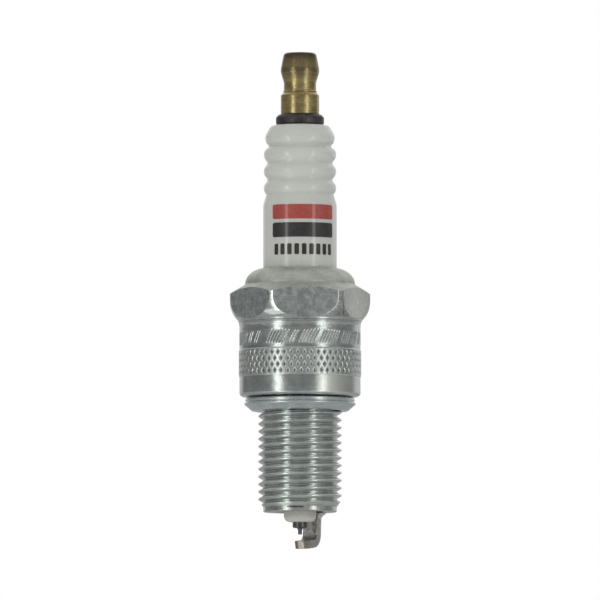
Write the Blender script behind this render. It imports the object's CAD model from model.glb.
"""Spark plug: detailed surfaces, finishes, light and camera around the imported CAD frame.

The plug's lengths are millimetres in the frame's own axes: +Z runs up the axis towards the terminal, and
z = 0 is the plane that the gasket seals on. The studio's lengths are metres.
"""
from math import acos, ceil, cos, degrees, floor, pi, radians, sin, sqrt, tan

import bpy
import numpy as np
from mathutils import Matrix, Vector


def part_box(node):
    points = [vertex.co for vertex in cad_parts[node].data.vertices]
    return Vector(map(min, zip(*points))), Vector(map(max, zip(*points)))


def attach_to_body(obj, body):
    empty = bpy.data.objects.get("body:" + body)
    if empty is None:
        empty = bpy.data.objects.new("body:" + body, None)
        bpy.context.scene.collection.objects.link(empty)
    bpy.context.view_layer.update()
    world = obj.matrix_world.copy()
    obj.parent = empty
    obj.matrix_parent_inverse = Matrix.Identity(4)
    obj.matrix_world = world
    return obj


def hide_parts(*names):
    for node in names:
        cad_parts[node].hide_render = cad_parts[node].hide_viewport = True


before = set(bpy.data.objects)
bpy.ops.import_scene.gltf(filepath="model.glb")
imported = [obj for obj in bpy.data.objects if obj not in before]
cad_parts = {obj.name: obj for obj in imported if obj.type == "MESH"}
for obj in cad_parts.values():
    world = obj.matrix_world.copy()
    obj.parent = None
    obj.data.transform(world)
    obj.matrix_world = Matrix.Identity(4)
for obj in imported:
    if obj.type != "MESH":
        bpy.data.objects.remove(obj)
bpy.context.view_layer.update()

MM = 0.001


def heights(node):
    """The lowest and the highest z of a CAD node."""
    low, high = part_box(node)
    return low[2] / MM, high[2] / MM


SHELL_END, SHELL_TOP = heights("shell")
NOSE_END, INSULATOR_TOP = heights("insulator")
NUT_FOOT, NUT_TOP = heights("terminal_nut")
STUD_END, STUD_TOP = heights("terminal_stud")
ELECTRODE_END = heights("centre_electrode")[0]
PIN_TIP, PIN_TOP = heights("iridium_pin")
GASKET_TOP = heights("gasket")[1]

# Columns of points around the axis. The shell is finest where it is knurled.
THREAD_COLUMNS = 168
HEX_COLUMNS = 2 * THREAD_COLUMNS
KNURL_COLUMNS = 4 * THREAD_COLUMNS
LATHE_COLUMNS = 160
SMALL_COLUMNS = 96
ROD_COLUMNS = 48


# ------------ meshes

class Skin:
    """A surface made of rings of points. Each face carries the number of its finish."""

    def __init__(self, start=0.0):
        """start is the angle of every ring's first point."""
        self.start = start
        self.points = []
        self.faces = []
        self.finishes = []

    def ring(self, points):
        first = len(self.points)
        self.points.extend(points)
        return list(range(first, len(self.points)))

    def polar(self, radius, angles, z):
        """A ring at these angles. Its radius is one number, or one for each angle."""
        x, y = radius * np.cos(angles), radius * np.sin(angles)
        return self.ring(list(zip(x, y, np.full(len(angles), z))))

    def circle(self, radius, z, columns, turn=0.0):
        return self.polar(radius, self.start + turn + np.arange(columns) * 2 * pi / columns, z)

    def face(self, corners, finish):
        kept = [corner for i, corner in enumerate(corners) if corner != corners[i - 1]]
        if len(set(kept)) > 2:
            self.faces.append(kept)
            self.finishes.append(finish)

    def join(self, low, high, finish=0):
        """Faces between two rings. One has as many points as the other, or a multiple of them."""
        steps = min(len(low), len(high))
        low_run = len(low) // steps
        high_run = len(high) // steps
        for i in range(steps):
            bottom = [low[(i * low_run + k) % len(low)] for k in range(low_run + 1)]
            top = [high[(i * high_run + k) % len(high)] for k in range(high_run + 1)]
            self.face(bottom + top[::-1], finish)

    def lathe(self, outline, columns, finish=0, last=None):
        """Rings along an outline of (radius, z), each joined to the last. Returns the new last."""
        for radius, z in outline:
            ring = self.circle(radius, z, columns)
            if last is not None:
                self.join(last, ring, finish)
            last = ring
        return last

    def hoop(self, section, columns):
        """A ring-shaped solid, from the points (radius, z) round its section."""
        first = self.circle(*section[0], columns)
        last = self.lathe(section[1:], columns, last=first)
        self.join(last, first)

    def cap(self, ring, finish=0, facing_up=True):
        self.face(ring if facing_up else ring[::-1], finish)

    def piece(self, name, materials, sharp=35):
        """The finished object. Edges that bend more than `sharp` degrees stay crisp."""
        mesh = bpy.data.meshes.new(name)
        mesh.from_pydata([(x * MM, y * MM, z * MM) for x, y, z in self.points], [], self.faces)
        mesh.update()
        mesh.polygons.foreach_set("material_index", self.finishes)
        mesh.shade_smooth()
        mesh.set_sharp_from_angle(angle=radians(sharp))
        for material in materials:
            mesh.materials.append(material)
        piece = bpy.data.objects.new(name, mesh)
        bpy.context.scene.collection.objects.link(piece)
        return piece


def curve_through(points, steps=3):
    """A smooth line through the points, with extra points between them."""
    knots = np.array([points[0], *points, points[-1]], dtype=float)
    line = []
    for before, start, end, after in zip(knots, knots[1:], knots[2:], knots[3:]):
        for k in range(steps):
            t = k / steps
            pull = (end - before) / 2
            push = (after - start) / 2
            line.append(
                (2 * t**3 - 3 * t**2 + 1) * start
                + (t**3 - 2 * t**2 + t) * pull
                + (3 * t**2 - 2 * t**3) * end
                + (t**3 - t**2) * push
            )
    line.append(knots[-1])
    return [tuple(point) for point in line]


def rounded(corners, steps=4):
    """An outline through corners of (radius, z) or, set back by a curve, (radius, z, rounding)."""
    outline = []
    for i, (radius, z, *size) in enumerate(corners):
        here = np.array((radius, z), dtype=float)
        if not size:
            outline.append(tuple(here))
            continue
        before = np.array(corners[i - 1][:2]) - here
        after = np.array(corners[i + 1][:2]) - here
        start = here + before / np.linalg.norm(before) * size[0]
        end = here + after / np.linalg.norm(after) * size[0]
        for t in np.linspace(0, 1, steps + 1):
            outline.append(tuple((1 - t) ** 2 * start + 2 * t * (1 - t) * here + t**2 * end))
    return outline


def arc(centre_r, centre_z, radius_r, radius_z, first, last, steps):
    """Part of an ellipse, from one angle to another in degrees."""
    angles = np.radians(np.linspace(first, last, steps + 1))
    return [(centre_r + radius_r * cos(a), centre_z + radius_z * sin(a)) for a in angles]


# A thread's flank: how far from the crest, in pitches, and how high between root (0) and crest (1).
FLANK = ((0, 1), (0.05, 0.985), (0.1, 0.93), (0.16, 0.8), (0.28, 0.44), (0.4, 0.08), (0.45, 0.02),
         (0.5, 0))
# One pitch is that flank and its mirror image, back up to the next crest.
RIDGE = FLANK + tuple((1 - along, height) for along, height in FLANK[-2:0:-1])
# Points of a ridge this close to an end ring in height belong to that ring.
SAME_Z = 1e-3


def thread(skin, low, high_z, pitch, root, crest, crest_z, limit, finish=0, inward=False):
    """A right-handed helical ridge from the ring `low` up to high_z. Returns the ring at the top.

    A crest passes crest_z at angle 0. limit(z) holds the surface back, and fades the ridge at its ends.
    """
    columns = len(low)
    rows = len(RIDGE)
    low_z = skin.points[low[0]][2]
    high = skin.circle(limit(high_z), high_z, columns)
    made = {}

    def corner(column, row):
        if column == columns:
            column, row = 0, row + rows
        angle = skin.start + 2 * pi * column / columns
        turn, step = divmod(row, rows)
        along, height = RIDGE[step]
        z = crest_z + pitch * (turn + along + angle / (2 * pi))
        if z <= low_z + SAME_Z:
            return low[column]
        if z >= high_z - SAME_Z:
            return high[column]
        if (column, row) not in made:
            radius = root + (crest - root) * height
            radius = max(radius, limit(z)) if inward else min(radius, limit(z))
            made[column, row] = skin.ring([(radius * cos(angle), radius * sin(angle), z)])[0]
        return made[column, row]

    first_turn = floor((low_z - crest_z) / pitch) - 2
    last_turn = ceil((high_z - crest_z) / pitch) + 2
    for column in range(columns):
        for row in range(first_turn * rows, last_turn * rows):
            square = [corner(column, row), corner(column + 1, row),
                      corner(column + 1, row + 1), corner(column, row + 1)]
            skin.face(square[::-1] if inward else square, finish)
    return high


# ------------ finishes

def add_node(tree, kind, values=None, **settings):
    """A new node. A value is set on its socket, or linked to it if it is another node's output."""
    node = tree.nodes.new(kind)
    for name, value in settings.items():
        setattr(node, name, value)
    for socket, value in (values or {}).items():
        if isinstance(value, bpy.types.NodeSocket):
            tree.links.new(value, node.inputs[socket])
        else:
            node.inputs[socket].default_value = value
    return node


def deeper(colour, share):
    return tuple(share * level for level in colour)


class Finish:
    """A procedural material around one Principled shader, in object coordinates."""

    def __init__(self, name, **constants):
        self.material = bpy.data.materials.new(name)
        self.material.use_nodes = True
        self.tree = self.material.node_tree
        self.shader = self.tree.nodes["Principled BSDF"]
        for socket, value in constants.items():
            self.shader.inputs[socket.replace("_", " ")].default_value = value
        self.place = self.node("ShaderNodeTexCoord").outputs["Object"]

    def node(self, kind, values=None, **settings):
        return add_node(self.tree, kind, values, **settings)

    def drive(self, **sources):
        """The material, with these sockets of its shader linked."""
        for socket, source in sources.items():
            self.tree.links.new(source, self.shader.inputs[socket.replace("_", " ")])
        return self.material

    def compute(self, operation, *values):
        return self.node("ShaderNodeMath", dict(enumerate(values)), operation=operation).outputs[0]

    def blend(self, first, second, share):
        """A sum of two numbers: this share of the first, and the rest of the second."""
        return self.compute("ADD", self.compute("MULTIPLY", first, share),
                            self.compute("MULTIPLY", second, 1 - share))

    def step(self, value, low, high, to_low=0.0, to_high=1.0):
        """A smooth change from to_low, where value is low, to to_high, where it is high."""
        return self.node("ShaderNodeMapRange", {
            "Value": value, "From Min": low, "From Max": high, "To Min": to_low, "To Max": to_high,
        }, interpolation_type="SMOOTHSTEP").outputs[0]

    def mix(self, amount, first, second):
        """A colour between two. A Mix node's colours are its inputs 6 and 7 and its output 2."""
        values = {0: amount}
        for index, colour in ((6, first), (7, second)):
            values[index] = colour if isinstance(colour, bpy.types.NodeSocket) else (*colour, 1.0)
        return self.node("ShaderNodeMix", values, data_type="RGBA").outputs[2]

    def noise(self, per_mm, detail=3.0, roughness=0.55, stretch=(1, 1, 1)):
        """Noise with this many features to a millimetre, squeezed along the axes by stretch."""
        scale = [per_mm / MM * squeeze for squeeze in stretch]
        vector = self.node("ShaderNodeMapping", {"Vector": self.place, "Scale": scale}).outputs[0]
        return self.node("ShaderNodeTexNoise", {
            "Vector": vector, "Scale": 1.0, "Detail": detail, "Roughness": roughness,
        }).outputs["Fac"]

    def height(self):
        return self.node("ShaderNodeSeparateXYZ", {0: self.place}).outputs[2]

    def radius(self):
        """Distance from the axis."""
        x, y, _ = self.node("ShaderNodeSeparateXYZ", {0: self.place}).outputs
        squares = self.compute("ADD", self.compute("POWER", x, 2.0), self.compute("POWER", y, 2.0))
        return self.compute("SQRT", squares)

    def patch(self, spot, ragged, raggedness, fade):
        """1 inside a ragged ball round spot, (x, y, z, reach) in millimetres, fading to 0 outside."""
        x, y, z, reach = spot
        centre = (x * MM, y * MM, z * MM)
        away = self.node("ShaderNodeVectorMath", {0: self.place, 1: centre}, operation="DISTANCE")
        push = self.compute("MULTIPLY", ragged, raggedness * MM)
        pushed = self.compute("ADD", away.outputs["Value"], push)
        usual_push = 0.375 * raggedness
        edge = reach + usual_push
        return self.step(pushed, (edge - fade) * MM, (edge + fade) * MM, 1.0, 0.0)

    def bump(self, height, depth, under=None):
        """A normal that follows the height, this many millimetres deep, on top of another normal."""
        values = {"Height": height, "Distance": depth * MM}
        if under is not None:
            values["Normal"] = under
        return self.node("ShaderNodeBump", values).outputs[0]


def plated(name, light, dark, roughness, rings, clouds, grain=0.006, soot=None, smudge=None, stain=None):
    """Zinc plating: turning marks round the axis, clouds from dark to light, and a fine grain.

    rings and grain are depths, and clouds is how many clouds there are to a millimetre. soot is a dark
    film inside a radius, gone outside another: (inner, outer, strength). stain is a dark patch and smudge
    a matte pale one: (x, y, z, reach).
    """
    look = Finish(name, Metallic=1.0)
    cloud = look.noise(clouds, detail=5.0, roughness=0.65)
    turned = look.noise(0.25, detail=4.0, roughness=0.7, stretch=(1, 1, 40))
    fine = look.noise(6.0, detail=2.0)
    colour = look.mix(look.step(look.blend(cloud, turned, 0.65), 0.36, 0.64), dark, light)
    rough = look.compute("MULTIPLY_ADD", cloud, 0.1, roughness - 0.05)
    if soot is not None:
        inner, outer, strength = soot
        film = look.step(look.radius(), inner * MM, outer * MM, strength, 0.0)
        colour = look.mix(film, colour, deeper(dark, 0.4))
    if stain is not None:
        mottled = look.noise(3.0, detail=4.0, roughness=0.7)
        stained = look.patch(stain, mottled, 1.5, 1.0)
        spots = look.compute("MULTIPLY", stained, look.step(mottled, 0.35, 0.6))
        colour = look.mix(spots, colour, deeper(dark, 0.4))
    if smudge is not None:
        worn = look.compute("MULTIPLY", look.patch(smudge, cloud, 4.0, 3.5), 0.9)
        pale = look.mix(look.step(cloud, 0.3, 0.7), (0.71, 0.715, 0.665), (0.85, 0.855, 0.80))
        rough = look.compute("ADD", rough, look.compute("MULTIPLY", worn, 0.15))
        colour = look.mix(worn, colour, pale)
    normal = look.bump(fine, grain, under=look.bump(turned, rings))
    return look.drive(Base_Color=colour, Roughness=rough, Normal=normal)


def glazed_ceramic():
    """White glaze with a few specks, and bare chalky ceramic at the nose."""
    look = Finish("white_glaze", Subsurface_Weight=0.35, Subsurface_Radius=(1.0, 1.0, 0.95),
                  Subsurface_Scale=0.0015)
    cloud = look.noise(0.12, detail=3.0)
    clean = look.mix(look.step(cloud, 0.3, 0.7), (0.745, 0.755, 0.715), (0.775, 0.785, 0.745))
    specks = look.noise(2.2, detail=1.0)
    spotted = look.mix(look.step(specks, 0.775, 0.8), clean, (0.36, 0.34, 0.30))
    bare = look.step(look.height(), -4.0 * MM, 10.0 * MM, 1.0, 0.0)
    chalk = look.mix(look.noise(0.9, detail=4.0), (0.58, 0.58, 0.53), (0.70, 0.70, 0.65))
    rough = look.compute("MULTIPLY_ADD", bare, 0.35, 0.17)
    normal = look.bump(look.noise(0.5, detail=4.0), 0.01)
    return look.drive(Base_Color=look.mix(bare, spotted, chalk), Roughness=rough, Normal=normal)


def tarnished_brass():
    """Turned brass, dull olive over the nut's upper half and burnt at its top."""
    look = Finish("tarnished_brass", Metallic=1.0)
    turned = look.noise(0.3, detail=3.0, roughness=0.6, stretch=(1, 1, 30))
    cloud = look.noise(0.5, detail=5.0, roughness=0.65)
    fleck = look.noise(2.5, detail=3.0, roughness=0.6)
    patches = look.step(look.blend(cloud, turned, 0.6), 0.38, 0.62)
    clean = look.mix(patches, (0.36, 0.265, 0.14), (0.54, 0.455, 0.205))
    ragged_height = look.compute("ADD", look.height(), look.compute("MULTIPLY", cloud, 1.6 * MM))
    dull = look.step(ragged_height, (NUT_TOP - 4.4) * MM, (NUT_TOP - 2.6) * MM, 0.0, 0.74)
    olive = look.mix(look.step(fleck, 0.35, 0.65), (0.17, 0.12, 0.075), (0.22, 0.19, 0.09))
    burnt = look.step(ragged_height, (NUT_TOP - 1.2) * MM, (NUT_TOP + 0.7) * MM, 0.0, 0.9)
    colour = look.mix(burnt, look.mix(dull, clean, olive), (0.07, 0.058, 0.045))
    rough = look.compute("MULTIPLY_ADD", cloud, 0.2, 0.14)
    normal = look.bump(fleck, 0.003, under=look.bump(turned, 0.03))
    return look.drive(Base_Color=colour, Roughness=rough, Normal=normal)


def oxidised(name, light, dark, roughness, metallic, clouds=0.8, burnt=None):
    """Bare metal clouded by oxide. burnt is (low, high): it browns from high down to low."""
    look = Finish(name, Metallic=metallic)
    cloud = look.noise(clouds, detail=5.0, roughness=0.65)
    colour = look.mix(look.step(cloud, 0.35, 0.65), dark, light)
    if burnt is not None:
        low, high = burnt
        ragged_height = look.compute("ADD", look.height(), look.compute("MULTIPLY", cloud, 0.8 * MM))
        brown = look.step(ragged_height, low * MM, high * MM, 0.6, 0.0)
        colour = look.mix(brown, colour, deeper(dark, 0.55))
    rough = look.compute("MULTIPLY_ADD", cloud, 0.2, roughness - 0.1)
    normal = look.bump(look.noise(3.0, detail=3.0), 0.01)
    return look.drive(Base_Color=colour, Roughness=rough, Normal=normal)


def ink(name, colour):
    """Printed enamel, thinner and a little paler in places."""
    look = Finish(name, Coat_Weight=0.6, Coat_Roughness=0.07)
    thin = look.noise(1.6, detail=4.0)
    paler = tuple(1.15 * level + 0.01 for level in colour)
    varied = look.mix(look.step(thin, 0.35, 0.75), colour, paler)
    return look.drive(Base_Color=varied, Roughness=look.step(thin, 0.2, 0.8, 0.3, 0.45))


def granular(name, light, dark, grains_per_mm, roughness, metallic=0.0):
    """A pressed or fused powder whose grains show."""
    look = Finish(name, Metallic=metallic)
    cells = look.node("ShaderNodeTexVoronoi", {"Vector": look.place, "Scale": grains_per_mm / MM})
    grains = cells.outputs["Distance"]
    colour = look.mix(look.step(grains, 0.1, 0.7), light, dark)
    rough = look.step(grains, 0.0, 0.8, roughness - 0.1, roughness + 0.1)
    return look.drive(Base_Color=colour, Roughness=rough, Normal=look.bump(grains, 0.02))


# ------------ shell: sizes and finishes

# Bores, pilot and thread. A crest of the thread passes THREAD_CREST_Z at angle 0.
NOSE_BORE_R, SHANK_BORE_R, BODY_BORE_R = 4.1, 5.2, 7.6
BORE_CHAMFER = 0.25
PILOT_R = 6.09
PILOT_CHAMFER = 0.1
PILOT_TOP_Z = -16.2
THREAD_FOOT_Z, THREAD_TOP_Z = -15.88, 1.1
THREAD_PITCH = 1.25
THREAD_ROOT_R, THREAD_CREST_R, THREAD_CLEAR_R = 6.17, 6.92, 6.97
THREAD_CREST_Z = -1.45
RUN_OUT_RISE = 0.78

# Lens-shaped cut where the thread starts. Its rings are (height below the thread, share of the depth).
CUT_CENTRE = radians(-95)
CUT_HALF_ANGLE = radians(17)
CUT_DEPTH = 0.14
CUT_RINGS = ((0.26, 0.0), (0.22, 0.6), (0.18, 1.0), (0.08, 1.0), (0.04, 0.6), (0.0, 0.0))

# Barrel, with the face that the gasket bears on at SEAT_Z.
SEAT_Z = 2.3
BARREL_R, BAND_R = 10.03, 10.13

# Knurled band: rows of rhombic pits, every other row shifted by half a pit. Widths are in columns.
KNURL_FOOT_Z, KNURL_TOP_Z = 5.82, 9.98
KNURL_CELLS = 25
PIT_ROWS = 4
PIT_ROW_Z, PIT_ROW_PITCH = 6.33, 1.01
PIT_PITCH, HALF_PITCH = 12, 6
PIT_HALF_WIDTH = 3.9
PIT_HALF_HEIGHT = 0.57
PIT_DEPTH, PIT_STEEPNESS = 0.17, 1.35

# Stroke band: how far each column across a stroke stands out. The lean is in columns.
STROKE_FOOT_Z, STROKE_TOP_Z = 10.9, 13.0
STROKE_CELLS = 9
STROKE_MARGIN = 0.12
STROKE_LEAN = 11
STROKE_SHAPE = (0.015, -0.015, -0.09, -0.075, -0.005, 0.02)
# How many strokes follow each other and how many are then left out, all the way round.
STROKE_RUNS = ((3, 1), (2, 1), (5, 1), (6, 1), (4, 1), (3, 1)) * 3 + (
    (5, 1), (4, 1), (2, 1), (2, 1), (2, 3), (3, 0))

# Hex: flats in a turned envelope, which is rounded below HEX_FULL_Z and a cone above HEX_SHOULDER_Z.
HEX_START = radians(-114.5)
HEX_APOTHEM, HEX_CORNER_R = 10.32, 11.65
HEX_FOOT_Z, HEX_FULL_Z, HEX_SHOULDER_Z, HEX_TOP_Z = 14.98, 18.35, 19.46, 21.0
HEX_ROUNDING_R, HEX_ROUNDING_HEIGHT = 9.1, 3.7
FLAT_FOOT_Z = 15.3
EDGE_SOFTNESS = 0.05
SIDE_COLUMNS = HEX_COLUMNS // 6
FLAT_COLUMNS = 20
LEAST_SPREAD = 12.0

# Crimp, rolled over on the insulator's shoulder.
CRIMP_R, CRIMP_INNER_R, MOUTH_R = 9.12, 5.8, 6.3

# The shell's finishes, by their places in its list of materials.
TURNED, FLATS, CRIMP, THREADED, KNURLED, STRUCK, PILOT, CORNERS = range(8)


def shell_finishes():
    """The shell's materials, in the order of their numbers."""
    return [
        plated("turned_zinc", (0.60, 0.635, 0.62), (0.43, 0.465, 0.455), 0.22, rings=0.014, clouds=0.4,
               smudge=(6.6, -7.6, 4.2, 3.4)),
        plated("hex_zinc", (0.62, 0.655, 0.65), (0.34, 0.375, 0.375), 0.40, rings=0.002, clouds=1.1,
               grain=0.014, smudge=(9.6, -4.4, 17.2, 4.5)),
        plated("crimp_zinc", (0.66, 0.675, 0.63), (0.49, 0.505, 0.465), 0.52, rings=0.02, clouds=0.5),
        plated("thread_zinc", (0.66, 0.70, 0.675), (0.50, 0.53, 0.515), 0.22, rings=0.006, clouds=0.5,
               soot=(6.05, 6.4, 0.35)),
        plated("knurl_zinc", (0.67, 0.70, 0.675), (0.50, 0.535, 0.515), 0.31, rings=0.006, clouds=0.6,
               soot=(9.98, 10.11, 0.95)),
        plated("stroke_zinc", (0.63, 0.665, 0.65), (0.46, 0.495, 0.48), 0.27, rings=0.01, clouds=0.5,
               soot=(9.93, 10.02, 0.3)),
        plated("pilot_zinc", (0.72, 0.725, 0.67), (0.42, 0.44, 0.42), 0.26, rings=0.014, clouds=0.5,
               soot=(5.98, 6.06, 0.9)),
        plated("corner_zinc", (0.62, 0.65, 0.63), (0.46, 0.49, 0.475), 0.13, rings=0.004, clouds=0.6,
               stain=(7.4, -8.4, 16.2, 2.2)),
    ]


# ------------ shell: thread, knurl and strokes

def thread_limit(z):
    """How far out the thread may reach, with its lead-in and its run-out inside the gasket."""
    lead_in = PILOT_R + (THREAD_CLEAR_R - PILOT_R) * (z - THREAD_FOOT_Z) / THREAD_PITCH
    run_out = THREAD_ROOT_R + RUN_OUT_RISE * (THREAD_TOP_Z - z) / THREAD_TOP_Z
    return max(PILOT_R, min(THREAD_CLEAR_R, lead_in, run_out))


def thread_start(skin, ring):
    """The top of the pilot, with the shallow cut where the thread starts."""
    angles = skin.start + np.arange(THREAD_COLUMNS) * 2 * pi / THREAD_COLUMNS
    off_centre = (angles - CUT_CENTRE + pi) % (2 * pi) - pi
    lens = np.clip(1 - (off_centre / CUT_HALF_ANGLE) ** 2, 0, 1)
    outline = [(PILOT_R - CUT_DEPTH * share * lens, THREAD_FOOT_Z - below) for below, share in CUT_RINGS]
    return skin.lathe(outline, THREAD_COLUMNS, PILOT, ring)


def pit_shift(row):
    return HALF_PITCH if row % 2 else 0


def knurl_depth(z):
    """How deep the pits are at this height, for each column."""
    across = np.arange(KNURL_COLUMNS)
    depth = np.zeros(KNURL_COLUMNS)
    for row in range(PIT_ROWS):
        off_row = abs(z - PIT_ROW_Z - row * PIT_ROW_PITCH) / PIT_HALF_HEIGHT
        off_middle = (across + pit_shift(row) + HALF_PITCH) % PIT_PITCH - HALF_PITCH
        reach = 1 - np.abs(off_middle) / PIT_HALF_WIDTH - off_row
        depth = np.maximum(depth, PIT_DEPTH * np.clip(PIT_STEEPNESS * reach, 0, 1))
    return depth


def knurled_band(skin, ring):
    """Square cells, each split along the edge of the pit it lies on."""
    cell_height = (KNURL_TOP_Z - KNURL_FOOT_Z) / KNURL_CELLS
    last = skin.circle(BAND_R - knurl_depth(KNURL_FOOT_Z), KNURL_FOOT_Z, KNURL_COLUMNS)
    skin.join(ring, last, KNURLED)
    for cell in range(1, KNURL_CELLS + 1):
        z = KNURL_FOOT_Z + cell * cell_height
        new = skin.circle(BAND_R - knurl_depth(z), z, KNURL_COLUMNS)
        middle_z = z - cell_height / 2
        pit_row = round((middle_z - PIT_ROW_Z) / PIT_ROW_PITCH)
        above = middle_z > PIT_ROW_Z + PIT_ROW_PITCH * pit_row
        for column in range(KNURL_COLUMNS):
            after = (column + 1) % KNURL_COLUMNS
            right = (column + 0.5 + pit_shift(pit_row)) % PIT_PITCH < HALF_PITCH
            a, b, c, d = last[column], last[after], new[column], new[after]
            for half in ([a, b, c], [b, d, c]) if right == above else ([a, b, d], [a, d, c]):
                skin.face(half, KNURLED)
        last = new
    return last


def stroke_band(skin, ring):
    """Plain slanted grooves at uneven spacing, leaning with the columns."""
    width = len(STROKE_SHAPE)
    places = [place < strokes for strokes, gaps in STROKE_RUNS for place in range(strokes + gaps)]
    columns = np.arange(KNURL_COLUMNS)
    groove = np.array(STROKE_SHAPE)[columns % width] * np.array(places)[columns // width]
    lean = STROKE_LEAN * 2 * pi / KNURL_COLUMNS
    last = skin.lathe([(BARREL_R, STROKE_FOOT_Z - STROKE_MARGIN)], KNURL_COLUMNS, STRUCK, ring)
    for cell in range(STROKE_CELLS + 1):
        way_up = cell / STROKE_CELLS
        depth = groove if 0 < cell < STROKE_CELLS else 0.3 * groove
        z = STROKE_FOOT_Z + (STROKE_TOP_Z - STROKE_FOOT_Z) * way_up
        new = skin.circle(BARREL_R + depth, z, KNURL_COLUMNS, turn=lean * way_up)
        skin.join(last, new, STRUCK)
        last = new
    last = last[-STROKE_LEAN:] + last[:-STROKE_LEAN]
    return skin.lathe([(BARREL_R, STROKE_TOP_Z + STROKE_MARGIN)], KNURL_COLUMNS, STRUCK, last)


# ------------ shell: hex

def rounding_z(radius):
    """Height at which the rounding under the hex has this radius."""
    reach = (radius - HEX_ROUNDING_R) / (HEX_CORNER_R - HEX_ROUNDING_R)
    return HEX_FULL_Z - HEX_ROUNDING_HEIGHT * sqrt(max(0.0, 1 - reach**2))


def cone_z(radius):
    """Height at which the cone over the hex has this radius."""
    rise = HEX_TOP_Z - HEX_SHOULDER_Z
    return HEX_SHOULDER_Z + (HEX_CORNER_R - radius) * rise / (HEX_CORNER_R - CRIMP_R)


def flat_half_angle(envelope):
    """Degrees from the middle of a flat to where an envelope this wide cuts it."""
    return degrees(acos(min(1.0, HEX_APOTHEM / envelope)))


def hex_ring(skin, envelope, z):
    """Six flats inside the envelope, with columns gathered at their softened edges."""
    spread = max(flat_half_angle(envelope), LEAST_SPREAD)
    marks = [0, *range(FLAT_COLUMNS - 2, FLAT_COLUMNS + 3), SIDE_COLUMNS // 2]
    angles = [0, *(spread + past_edge for past_edge in (-1.2, -0.5, 0.0, 0.35, 0.8)), 30]
    columns = np.arange(HEX_COLUMNS)
    off_middle = columns % SIDE_COLUMNS - SIDE_COLUMNS / 2
    turn = np.radians(np.sign(off_middle) * np.interp(np.abs(off_middle), marks, angles))
    flat = HEX_APOTHEM / np.cos(turn)
    nearness = np.clip(EDGE_SOFTNESS - np.abs(flat - envelope), 0, None) / EDGE_SOFTNESS
    radii = np.minimum(flat, envelope) - nearness**2 * EDGE_SOFTNESS / 4
    theta = skin.start + pi / 6 + (columns // SIDE_COLUMNS) * pi / 3 + turn
    return skin.polar(radii, theta, z)


def hex_finish(z, on_flat):
    if z <= FLAT_FOOT_Z:
        return TURNED
    if on_flat:
        return FLATS
    return CRIMP if z > HEX_SHOULDER_Z else CORNERS


def hexagon(skin, ring):
    """From the barrel up over the hex, by rings of (envelope radius, z).

    The cuts are where the envelopes meet a flat, in degrees from its middle.
    """
    cuts = (2, 5, 8, 11, 13.5, 16, 18, 20, 22, 23.5, 24.8, 25.8, 26.6, 27.2, 27.6)
    radii = [HEX_APOTHEM / cos(radians(cut)) for cut in cuts]
    stations = [(10.04, 13.9), (10.08, 14.25), (10.15, 14.44), (10.09, 14.52), (10.1, 14.6)]
    stations += [(10.19, 14.7), (10.13, 14.78), (10.22, 14.88), (10.3, 14.95)]
    stations += [(radius, rounding_z(radius)) for radius in radii if rounding_z(radius) > HEX_FOOT_Z]
    stations += [(HEX_CORNER_R, z) for z in (HEX_FULL_Z, 18.7, 19.1, HEX_SHOULDER_Z - 0.06)]
    stations += [(radius, cone_z(radius)) for radius in (*reversed(radii), 10.0, 9.6, 9.22)]
    last = ring
    for envelope, z in stations:
        new = hex_ring(skin, envelope, z)
        reach = FLAT_COLUMNS * min(1.0, flat_half_angle(envelope) / LEAST_SPREAD)
        for column in range(HEX_COLUMNS):
            after = (column + 1) % HEX_COLUMNS
            off_middle = abs(column % SIDE_COLUMNS + 0.5 - SIDE_COLUMNS / 2)
            finish = hex_finish(z, off_middle < reach)
            skin.face([last[column], last[after], new[after], new[column]], finish)
        last = new
    return last


# ------------ shell: assembly

def pilot(skin, end):
    """From the ring round the bore's end out and up to the thread."""
    outline = rounded([
        (5.7, SHELL_END),
        (PILOT_R - PILOT_CHAMFER, SHELL_END, 0.05),
        (PILOT_R, SHELL_END + PILOT_CHAMFER, 0.05),
        (PILOT_R, PILOT_TOP_Z),
    ])
    ring = skin.lathe(outline, THREAD_COLUMNS, PILOT, end)
    return thread_start(skin, ring)


def barrel(skin, ring):
    """The gasket's groove and seat, and the barrel with its two bands."""
    groove = [(6.12, THREAD_TOP_Z + 0.15), (6.1, SEAT_Z - 0.15), (6.25, SEAT_Z)]
    ring = skin.lathe(groove, THREAD_COLUMNS, TURNED, ring)
    ring = skin.lathe([(7.4, SEAT_Z)], HEX_COLUMNS, TURNED, ring)
    rounding_r, rounding_height = 1.25, 0.65
    foot = [(8.6, SEAT_Z)]
    foot += arc(BARREL_R - rounding_r, SEAT_Z + rounding_height, rounding_r, rounding_height, -86, 0, 10)
    foot += [(BARREL_R, 4.2), (BARREL_R, KNURL_FOOT_Z - 0.2), (BAND_R - 0.02, KNURL_FOOT_Z - 0.08)]
    ring = skin.lathe(foot, KNURL_COLUMNS, TURNED, ring)
    ring = knurled_band(skin, ring)
    waist = [(BAND_R - 0.02, KNURL_TOP_Z + 0.08), (BARREL_R, KNURL_TOP_Z + 0.2), (BARREL_R, 10.6)]
    ring = skin.lathe(waist, KNURL_COLUMNS, TURNED, ring)
    ring = stroke_band(skin, ring)
    ring = skin.lathe([(BARREL_R, 13.35)], KNURL_COLUMNS, TURNED, ring)
    return skin.lathe([(BARREL_R, 13.6)], HEX_COLUMNS, TURNED, ring)


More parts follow.
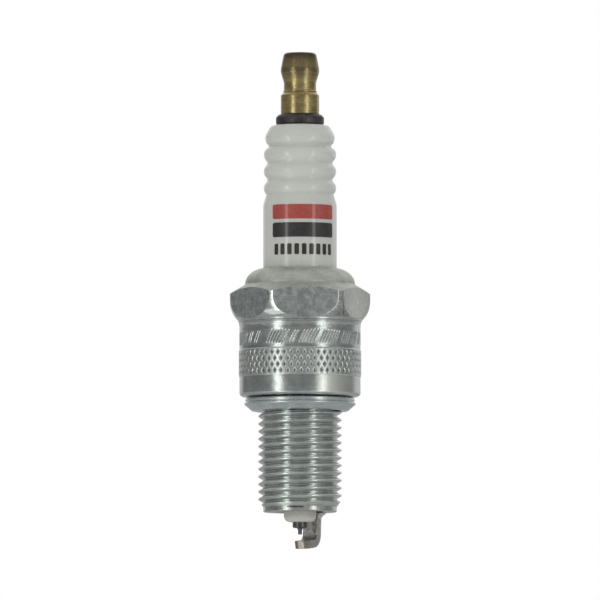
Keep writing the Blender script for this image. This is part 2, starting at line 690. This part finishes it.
def crimp(skin, ring):
    """The rolled rim, from the top of the hex to the mouth round the insulator."""
    roll_height = SHELL_TOP - HEX_TOP_Z - 0.01
    outline = [(CRIMP_R - 0.01, HEX_TOP_Z + 0.06)]
    outline += arc(CRIMP_INNER_R, HEX_TOP_Z, CRIMP_R - CRIMP_INNER_R, roll_height, 3, 80, 18)
    outline += [(MOUTH_R + 0.02, SHELL_TOP - 0.08), (MOUTH_R, SHELL_TOP - 0.3)]
    outline += [(MOUTH_R + 0.1, SHELL_TOP - 0.7), (7.3, 22.6)]
    return skin.lathe(outline, THREAD_COLUMNS, CRIMP, ring)


def bore(skin, ring, end):
    """Down the three bores and out at the firing end."""
    outline = [(BODY_BORE_R, 22.0), (BODY_BORE_R, 6.0), (SHANK_BORE_R, 4.0), (SHANK_BORE_R, -3.5)]
    outline += [(NOSE_BORE_R, -4.6), (NOSE_BORE_R, SHELL_END + BORE_CHAMFER)]
    ring = skin.lathe(outline, THREAD_COLUMNS, TURNED, ring)
    skin.join(ring, end, TURNED)


def make_shell():
    skin = Skin(start=HEX_START)
    end = skin.circle(NOSE_BORE_R + BORE_CHAMFER, SHELL_END, THREAD_COLUMNS)
    ring = pilot(skin, end)
    ring = thread(skin, ring, THREAD_TOP_Z, THREAD_PITCH, THREAD_ROOT_R, THREAD_CREST_R, THREAD_CREST_Z,
                  thread_limit, THREADED)
    ring = barrel(skin, ring)
    ring = hexagon(skin, ring)
    ring = crimp(skin, ring)
    bore(skin, ring, end)
    return skin.piece("shell_body", shell_finishes(), sharp=32)


# ------------ insulator and prints

NOSE_R, NOSE_ROUNDING = 2.675, 1.05
SHANK_R, BODY_R, NECK_R = 5.0, 7.35, 6.1
CORE_BORE_R, ELECTRODE_BORE_R = 2.25, 1.32
RIB_R, RIB_DEPTH, RIB_PITCH, RIB_SHARPNESS = 5.99, 0.58, 2.79, 1.6
RIBS = 3
RIB_STEPS = 14
FIRST_GROOVE_Z = 35.6


def insulator_outline():
    """Up the outside from the nose to the bead at the top, then down the bore."""
    outline = [(ELECTRODE_BORE_R, NOSE_END)]
    rounding = NOSE_ROUNDING
    outline += arc(NOSE_R - rounding, NOSE_END + rounding, rounding, rounding, -90, 0, 8)
    outline += [(NOSE_R, NOSE_END + 3), (3.6, -6.1), (3.95, -4.15), (SHANK_R, -3.1), (SHANK_R, 4.4)]
    outline += [(BODY_R, 6.4), (BODY_R, 17.2), (6.25, 18.12)]
    outline += [(NECK_R, z) for z in (18.3, 22.0, 28.0, 33.2)]
    outline += [(6.09, 33.9), (6.07, 34.25), (6.0, 34.6), (5.87, 34.95)]
    for step in range(2, RIBS * RIB_STEPS - 1):
        phase = step / RIB_STEPS
        groove = (0.5 + 0.5 * cos(2 * pi * phase)) ** RIB_SHARPNESS
        outline.append((RIB_R - RIB_DEPTH * groove, FIRST_GROOVE_Z + phase * RIB_PITCH))
    outline += curve_through([
        (5.47, 43.5), (5.24, 43.8), (5.18, 44.02), (5.28, 44.24), (5.56, 44.55), (5.7, 44.95),
        (5.75, 45.35), (5.69, 45.75), (5.52, 46.15), (5.27, 46.6), (5.0, 47.05), (4.72, 47.33),
        (4.4, INSULATOR_TOP),
    ])
    outline += [(3.0, INSULATOR_TOP), (CORE_BORE_R, INSULATOR_TOP - 0.1), (CORE_BORE_R, -1.5)]
    outline.append((ELECTRODE_BORE_R, -2.35))
    return outline


def make_insulator():
    skin = Skin()
    skin.hoop(insulator_outline(), LATHE_COLUMNS)
    return skin.piece("insulator_body", [glazed_ceramic()])


# The prints stand just proud of the neck. Their middle is a little right of the front.
PRINT_MIDDLE = radians(-90) + radians(6.5)
PRINT_INNER_R, PRINT_OUTER_R = 6.06, 6.125
BAR_HALF_ANGLE = radians(54)
TICK_HALF_ANGLE = radians(3.6)
TICK_PITCH = 11.6


def border(grid):
    """The points round the edge of a grid of rows, in turn."""
    right = [row[-1] for row in grid[1:]]
    left = [row[0] for row in grid[-2:0:-1]]
    return grid[0] + right + grid[-1][-2::-1] + left


def printed_patch(skin, turn, half_angle, low_z, high_z, corner=0.25):
    """A thin raised patch of ink with clipped corners."""
    columns = max(4, int(degrees(half_angle) * 2 / 3))
    rim = corner / PRINT_OUTER_R
    rows = ((low_z, rim), (low_z + corner, 0), (high_z - corner, 0), (high_z, rim))
    grids = []
    for radius, side in ((PRINT_OUTER_R, 1), (PRINT_INNER_R, -1)):
        grid = []
        for z, inset in rows:
            reach = half_angle - inset
            angles = PRINT_MIDDLE + turn + np.linspace(-reach, reach, columns + 1)
            grid.append(skin.polar(radius, angles, z))
        for low, high in zip(grid, grid[1:]):
            for column in range(columns):
                square = [low[column], low[column + 1], high[column + 1], high[column]]
                skin.face(square[::side], 0)
        grids.append(grid)
    outer, inner = grids
    skin.join(border(inner), border(outer))


def make_prints():
    """Two plain bars and a row of ticks: (piece, slot)."""
    red, black, ticks = Skin(), Skin(), Skin()
    printed_patch(red, 0.0, BAR_HALF_ANGLE, 31.6, 34.0)
    printed_patch(black, 0.0, BAR_HALF_ANGLE, 28.6, 31.0)
    for place in range(-4, 5):
        printed_patch(ticks, radians(TICK_PITCH * place), TICK_HALF_ANGLE, 25.7, 27.5, corner=0.12)
    black_ink = ink("black_ink", (0.028, 0.027, 0.027))
    return [
        (red.piece("print_red_bar", [ink("red_ink", (0.46, 0.075, 0.06))]), "red_print"),
        (black.piece("print_black_bar", [black_ink]), "black_print"),
        (ticks.piece("print_ticks", [black_ink]), "black_print"),
    ]


# ------------ terminal

M4_PITCH = 0.7
NUT_R = 3.19
NUT_BORE_R, NUT_ROOT_R = 2.08, 2.34
ANCHOR_R, GROOVE_R = 1.6, 1.42
STUD_R, STUD_CREST_R = 1.57, 1.98
FLANGE_R = 3.99
FLANGE_Z = INSULATOR_TOP + 0.02
FLANGE_TOP = FLANGE_Z + 1.8


def nut_outline():
    """Up the outside and in over the top. The first corners are heights above the foot."""
    corners = [
        (2.35, 0.0), (NUT_R, 0.0, 0.1), (NUT_R, 0.6), (NUT_R, 2.2), (NUT_R, 3.15, 0.08),
        (2.71, 3.66, 0.04), (2.81, 3.74, 0.03), (2.8, 3.86, 0.03), (2.69, 3.94, 0.04), (2.68, 4.6),
        (2.68, 5.3, 0.2), (2.93, 6.1), (NUT_R, 7.0, 0.16), (NUT_R, 7.6, 0.16), (2.97, 8.7),
    ]
    corners = [(radius, NUT_FOOT + height, *rounding) for radius, height, *rounding in corners]
    corners += [(2.72, NUT_TOP - 0.3, 0.1), (2.46, NUT_TOP, 0.09)]
    corners += [(1.6, NUT_TOP - 0.01), (0.7, NUT_TOP - 0.02)]
    return rounded(corners)


def make_terminal_nut():
    """The thread down its bore stays clear of the stud's crests all round."""
    skin = Skin()
    first, *rest = nut_outline()
    foot = skin.circle(*first, SMALL_COLUMNS)
    skin.cap(skin.lathe(rest, SMALL_COLUMNS, last=foot))
    roof = skin.circle(0.5, NUT_FOOT + 8.3, SMALL_COLUMNS)
    skin.cap(roof, facing_up=False)
    wall_top = skin.lathe([(NUT_BORE_R, NUT_FOOT + 7.4)], SMALL_COLUMNS, last=roof)
    low = skin.circle(NUT_BORE_R, NUT_FOOT + 0.27, SMALL_COLUMNS)
    top = thread(skin, low, NUT_FOOT + 7.2, M4_PITCH, NUT_ROOT_R, NUT_BORE_R, NUT_FOOT + 0.5,
                 lambda z: NUT_BORE_R, inward=True)
    skin.join(wall_top, top)
    skin.join(low, foot)
    return skin.piece("terminal_nut_body", [tarnished_brass()])


def stud_limit(z):
    """The stud's thread fades out above the flange and below the top."""
    rise = z - (FLANGE_TOP + 0.4)
    fall = STUD_TOP - 0.3 - z
    return max(1.5, min(1.99, 1.55 + rise, 1.55 + fall))


def make_terminal_stud():
    skin = Skin()
    outline = [(ANCHOR_R, STUD_END + 0.1)]
    for tooth in range(4):
        z = STUD_END + 0.4 + tooth
        outline += [(ANCHOR_R, z), (ANCHOR_R, z + 0.5), (GROOVE_R, z + 0.72)]
    outline += [(GROOVE_R, STUD_END + 4), (2.05, STUD_END + 4.3), (2.05, FLANGE_Z)]
    outline += rounded([
        (3.2, FLANGE_Z), (3.75, FLANGE_Z, 0.1), (FLANGE_R, FLANGE_Z + 0.3, 0.12),
        (FLANGE_R, FLANGE_TOP - 0.5, 0.15), (3.5, FLANGE_TOP, 0.2), (2.2, FLANGE_TOP),
    ])
    outline += [(1.55, FLANGE_TOP + 0.05), (1.55, FLANGE_TOP + 0.4)]
    base = skin.circle(1.5, STUD_END, SMALL_COLUMNS)
    skin.cap(base, facing_up=False)
    last = skin.lathe(outline, SMALL_COLUMNS, last=base)
    last = thread(skin, last, STUD_TOP - 0.3, M4_PITCH, STUD_R, STUD_CREST_R, FLANGE_TOP + 0.5,
                  stud_limit)
    skin.cap(skin.lathe([(1.3, STUD_TOP)], SMALL_COLUMNS, last=last))
    steel = oxidised("oxidised_steel", (0.10, 0.09, 0.09), (0.05, 0.045, 0.045), 0.42, 0.7)
    return skin.piece("terminal_stud_body", [steel])


# ------------ gasket

def make_gasket():
    """Up the outside over the open fold, across the top and down the inside."""
    skin = Skin()
    outline = curve_through([
        (7.15, 0.02), (7.4, 0.0), (7.75, 0.0), (8.1, 0.14), (8.5, 0.5), (8.85, 0.8), (9.12, 1.03),
        (9.23, 1.2), (9.17, 1.36), (9.03, 1.46), (8.96, 1.54), (8.99, 1.62), (9.06, 1.75),
        (9.07, 1.93), (8.99, 2.08), (8.8, GASKET_TOP),
    ])
    outline += [(8.1, GASKET_TOP), (7.5, GASKET_TOP - 0.02), (7.1, GASKET_TOP - 0.06)]
    outline += curve_through([
        (6.95, 2.0), (6.8, 1.75), (6.77, 1.4), (6.82, 1.12), (6.79, 0.8), (6.8, 0.5),
        (6.9, 0.2), (7.05, 0.06),
    ])
    skin.hoop(outline, LATHE_COLUMNS)
    steel = plated("gasket_zinc", (0.63, 0.685, 0.685), (0.50, 0.555, 0.56), 0.27, rings=0.01, clouds=0.5)
    return skin.piece("gasket_ring", [steel])


# ------------ electrodes

ELECTRODE_R, HEAD_R, BOSS_R = 1.225, 2.05, 1.6
HOLLOW_R = 0.76
PIN_R = 0.325


def rod(name, base_r, base_z, outline, material):
    """A turned rod with flat ends."""
    skin = Skin()
    base = skin.circle(base_r, base_z, ROD_COLUMNS)
    skin.cap(base, facing_up=False)
    skin.cap(skin.lathe(outline, ROD_COLUMNS, last=base))
    return skin.piece(name, [material])


def make_centre_electrode():
    """Up the outside to the head and the boss, and down the copper core's hollow."""
    end = ELECTRODE_END
    outline = [(0.6, end + 0.02), (0.95, end + 0.03), (1.12, end + 0.08), (1.2, end + 0.18)]
    outline += [(ELECTRODE_R, end + 0.32), (ELECTRODE_R, -12.0), (ELECTRODE_R, -2.2)]
    outline += [(HEAD_R, -1.4), (HEAD_R, -0.5), (BOSS_R, -0.3)]
    outline += [(BOSS_R, 1.0), (HOLLOW_R, 1.0), (HOLLOW_R, -17.5), (0.3, -17.8)]
    alloy = oxidised("nickel_alloy_dark", (0.17, 0.165, 0.16), (0.08, 0.077, 0.073), 0.3, 0.9)
    return rod("centre_electrode_body", 0.36, end + 0.01, outline, alloy)


def make_pin():
    """The fine wire, and the weld bead where it meets the electrode."""
    outline = [(0.28, PIN_TIP), (0.315, PIN_TIP + 0.04), (PIN_R, PIN_TIP + 0.1), (PIN_R, PIN_TIP + 0.6)]
    outline += [(0.34, PIN_TIP + 0.75), (0.44, PIN_TIP + 0.9), (0.5, PIN_TOP)]
    iridium = oxidised("iridium", (0.16, 0.16, 0.155), (0.08, 0.08, 0.078), 0.32, 1.0, 2.0)
    return rod("iridium_pin_body", 0.2, PIN_TIP, outline, iridium)


# The strap runs in an upright plane through the axis, where u is the distance from the axis.
STRAP_TURN = radians(61)
STRAP_LEAN = radians(3.4)
LEG_DROOP = radians(7)
ROOT_U, ROOT_Z = 4.28, SHELL_END - 0.02
BEND_Z, BEND_R = -20.3, 1.65
BEND_STEPS = 14
TIP_U = 0.3
CLIPPED = 0.55
HALF_WIDTH, HALF_THICKNESS = 1.375, 0.65
CORNER_CUT = 1.41
WELD_HEIGHT = 0.9
FLAT_FACE, SHEARED_END, CLIPPED_TIP = range(3)


def strap_stations():
    """Centre line of the strap, from weld to tip: (u, z, angle of its outward side)."""
    lean_u = (ROOT_Z - BEND_Z) * tan(STRAP_LEAN)
    stations = []
    for t in (0, 0.05, 0.1, 0.16, 0.22, 0.3, 0.45, 0.6, 0.8, 1.0):
        z = ROOT_Z + (BEND_Z - ROOT_Z) * t
        stations.append((ROOT_U - lean_u * t, z, -STRAP_LEAN))
    centre_u = ROOT_U - lean_u - BEND_R * cos(STRAP_LEAN)
    centre_z = BEND_Z + BEND_R * sin(STRAP_LEAN)
    leg_angle = LEG_DROOP - pi / 2
    for k in range(1, BEND_STEPS + 1):
        angle = -STRAP_LEAN + (leg_angle + STRAP_LEAN) * k / BEND_STEPS
        u = centre_u + BEND_R * cos(angle)
        stations.append((u, centre_z + BEND_R * sin(angle), angle))
    leg_u, leg_z, _ = stations[-1]
    for left in (1.6, 1.0, 0.6, CLIPPED, 0.3, 0.15, 0.03, 0.0):
        u = TIP_U + left
        stations.append((u, leg_z - (leg_u - u) * tan(LEG_DROOP), leg_angle))
    return stations


def strap_section(half_width, half_thickness, rounding=0.05):
    """Points of a rounded rectangle: (across the width, out through the thickness)."""
    points = []
    for sign_w, sign_t, first in ((1, 1, 0), (-1, 1, 90), (-1, -1, 180), (1, -1, 270)):
        for turn in (0, 22.5, 45, 67.5, 90):
            angle = radians(first + turn)
            points.append((
                sign_w * (half_width - rounding) + rounding * cos(angle),
                sign_t * (half_thickness - rounding) + rounding * sin(angle),
            ))
    return points


def strap_ring(skin, u, z, angle, clipped, inset):
    """A section of the strap, which flares into its weld and narrows along its clipped corners."""
    flash = max(0.0, 1 - (ROOT_Z - z) / WELD_HEIGHT) ** 2.2
    past_clip = CLIPPED - (u - TIP_U) if clipped else 0.0
    half_width = HALF_WIDTH - CORNER_CUT * past_clip + 0.62 * flash - inset
    half_thickness = HALF_THICKNESS + 0.3 * flash - inset
    points = []
    for across, out in strap_section(half_width, half_thickness):
        out += 0.3 * flash
        ripple = 1 + 0.12 * flash * sin(5 * across + 3 * out)
        slant = 0.15 * out if clipped else 0.0
        radial = u + out * cos(angle) * ripple + slant
        x = radial * cos(STRAP_TURN) - across * sin(STRAP_TURN)
        y = radial * sin(STRAP_TURN) + across * cos(STRAP_TURN)
        points.append((x, y, min(z + out * sin(angle), ROOT_Z)))
    return skin.ring(points)


def make_ground_electrode():
    skin = Skin()
    stations = strap_stations()
    root = last = None
    finish = FLAT_FACE
    for u, z, angle in stations:
        clipped = u <= TIP_U + CLIPPED
        new = strap_ring(skin, u, z, angle, clipped, inset=0.03 if u == TIP_U else 0.0)
        if last is None:
            root = new
        else:
            skin.join(last, new, finish)
        finish = CLIPPED_TIP if clipped else FLAT_FACE
        last = new
    skin.cap(root, facing_up=False)
    skin.cap(last, SHEARED_END)
    finishes = [
        oxidised("nickel_alloy_strap", (0.74, 0.72, 0.70), (0.42, 0.415, 0.39), 0.34, 0.7, 2.0,
                 burnt=(-21.4, -18.4)),
        oxidised("nickel_alloy_sheared", (0.66, 0.63, 0.52), (0.46, 0.43, 0.34), 0.5, 0.85, 3.0),
        oxidised("nickel_alloy_tinted", (0.33, 0.30, 0.235), (0.19, 0.17, 0.13), 0.4, 0.8, 1.8),
    ]
    return skin.piece("ground_electrode_strap", finishes, sharp=28)


# ------------ build and attach

def attach(piece, body, node):
    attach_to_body(piece, body)
    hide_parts(node)


attach(make_shell(), "plug", "shell")
attach(make_insulator(), "plug", "insulator")
for printed, print_slot in make_prints():
    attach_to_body(printed, "plug")
attach(make_terminal_stud(), "plug", "terminal_stud")
attach(make_centre_electrode(), "plug", "centre_electrode")
attach(make_pin(), "plug", "iridium_pin")
attach(make_ground_electrode(), "plug", "ground_electrode")
attach(make_terminal_nut(), "terminal_nut", "terminal_nut")
attach(make_gasket(), "gasket", "gasket")

# The hidden pieces keep their CAD shapes and get these finishes.
RING_STEEL = ((0.5, 0.5, 0.48), (0.36, 0.36, 0.35), 0.35, 1.0)
SEAL_GLASS = ((0.22, 0.20, 0.17), (0.10, 0.09, 0.08), 3.0, 0.35, 0.3)
INNER = {
    "seat_washer": oxidised("washer_steel", *RING_STEEL),
    "lower_packing_ring": oxidised("lower_ring_steel", *RING_STEEL),
    "upper_packing_ring": oxidised("upper_ring_steel", *RING_STEEL),
    "talc_ring": granular("talc_powder", (0.78, 0.77, 0.72), (0.62, 0.61, 0.57), 4.0, 0.9),
    "copper_core": oxidised("copper", (0.72, 0.36, 0.22), (0.52, 0.24, 0.15), 0.35, 1.0),
    "lower_glass_seal": granular("lower_seal_glass", *SEAL_GLASS),
    "upper_glass_seal": granular("upper_seal_glass", *SEAL_GLASS),
    "resistor": granular("resistor_compound", (0.05, 0.05, 0.05), (0.02, 0.02, 0.02), 5.0, 0.7),
}
for node_name, material in INNER.items():
    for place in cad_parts[node_name].material_slots:
        place.material = material


# ------------ studio

AIM = Vector((0.0, 0.0, 0.01848))
FLOOR_Z = -1.0
FLOOR_RADII = (9.0, 0.9, 0.001)
FLOOR_COLUMNS = 64

# Levels of the studio round the axis: 0 is in front of the plug, 1 is behind it.
STUDIO_LEVELS = ((0.0, 0.255), (0.12, 0.25), (0.30, 0.19), (0.42, 0.20), (0.54, 0.21), (0.60, 0.225),
                 (0.72, 0.25), (0.80, 0.20), (0.885, 0.70), (0.95, 0.68), (1.0, 0.72))
STUDIO_TURN = radians(8)


def make_floor():
    skin = Skin()
    skin.cap(skin.lathe([(radius / MM, FLOOR_Z / MM) for radius in FLOOR_RADII], FLOOR_COLUMNS))
    look = Finish("studio_floor", Roughness=0.8)
    grey = look.mix(look.noise(0.004), (0.66, 0.66, 0.655), (0.69, 0.69, 0.685))
    skin.piece("studio_floor", [look.drive(Base_Color=grey)])


def studio_light(tree):
    """Levels round the axis, brighter towards the top."""
    place = add_node(tree, "ShaderNodeTexCoord").outputs["Generated"]
    turned = add_node(tree, "ShaderNodeMapping", {"Vector": place, "Rotation": (0, 0, STUDIO_TURN)})
    _, depth, height = add_node(tree, "ShaderNodeSeparateXYZ", {0: turned.outputs[0]}).outputs
    way_back = add_node(tree, "ShaderNodeMapRange", {"Value": depth, "From Min": -1.0}).outputs[0]
    ramp = add_node(tree, "ShaderNodeValToRGB", {0: way_back})
    ramp.color_ramp.interpolation = "EASE"
    elements = ramp.color_ramp.elements
    while len(elements) < len(STUDIO_LEVELS):
        elements.new(0.5)
    for element, (position, level) in zip(elements, STUDIO_LEVELS):
        element.position = position
        element.color = (level, level, level, 1)
    above = add_node(tree, "ShaderNodeMapRange", {
        "Value": height, "From Min": 0.1, "From Max": 0.6, "To Max": 0.38,
    }, interpolation_type="SMOOTHSTEP").outputs[0]
    levels = {0: ramp.outputs[0], 1: above}
    return add_node(tree, "ShaderNodeVectorMath", levels, operation="ADD").outputs[0]


def make_world():
    """The studio that the plug reflects, behind plain white paper for the camera."""
    world = bpy.data.worlds.new("studio")
    bpy.context.scene.world = world
    world.use_nodes = True
    tree = world.node_tree
    tree.nodes.clear()
    studio = add_node(tree, "ShaderNodeBackground", {"Color": studio_light(tree)}).outputs[0]
    paper = add_node(tree, "ShaderNodeBackground", {"Color": (1, 1, 1, 1)}).outputs[0]
    seen = add_node(tree, "ShaderNodeLightPath").outputs["Is Camera Ray"]
    shown = add_node(tree, "ShaderNodeMixShader", {0: seen, 1: studio, 2: paper}).outputs[0]
    add_node(tree, "ShaderNodeOutputWorld", {0: shown})


def aimed(name, data, location, target):
    """A light or camera at a place, facing the target."""
    thing = bpy.data.objects.new(name, data)
    thing.location = location
    thing.rotation_euler = (target - thing.location).to_track_quat("-Z", "Y").to_euler()
    bpy.context.scene.collection.objects.link(thing)
    return thing


def strip_light(name, azimuth, width, height, radiance, z, distance=0.7, level=True):
    """A soft rectangle that faces the axis at its own height or, if not level, the aim."""
    data = bpy.data.lights.new(name, "AREA")
    data.color = (1.0, 1.02, 0.98)
    data.shape = "RECTANGLE"
    data.size = width
    data.size_y = height
    data.energy = radiance * pi * width * height
    angle = radians(azimuth)
    location = (distance * sin(angle), -distance * cos(angle), z)
    light = aimed(name, data, location, Vector((AIM.x, AIM.y, z)) if level else AIM)
    light.visible_camera = False


def make_camera():
    """A long lens that looks slightly up at the plug."""
    distance, view_width, sensor_width = 2.0, 0.0994, 36
    elevation = radians(-3.6)
    data = bpy.data.cameras.new("camera")
    data.sensor_width = sensor_width
    data.lens = sensor_width * distance / view_width
    data.clip_start = 0.05
    data.clip_end = 50
    location = AIM + distance * Vector((0, -cos(elevation), sin(elevation)))
    bpy.context.scene.camera = aimed("camera", data, location, AIM)


make_floor()
make_world()
strip_light("left_strip", -42.6, 0.11, 0.98, 3.2, z=-0.27)
strip_light("right_strip", 43.8, 0.11, 0.98, 2.9, z=-0.27)
strip_light("right_fill", 67, 0.26, 0.9, 0.16, z=-0.1)
strip_light("low_left_card", -62, 0.32, 0.32, 0.65, z=-0.5, distance=0.42, level=False)
make_camera()
bpy.context.scene.view_settings.view_transform = "Standard"
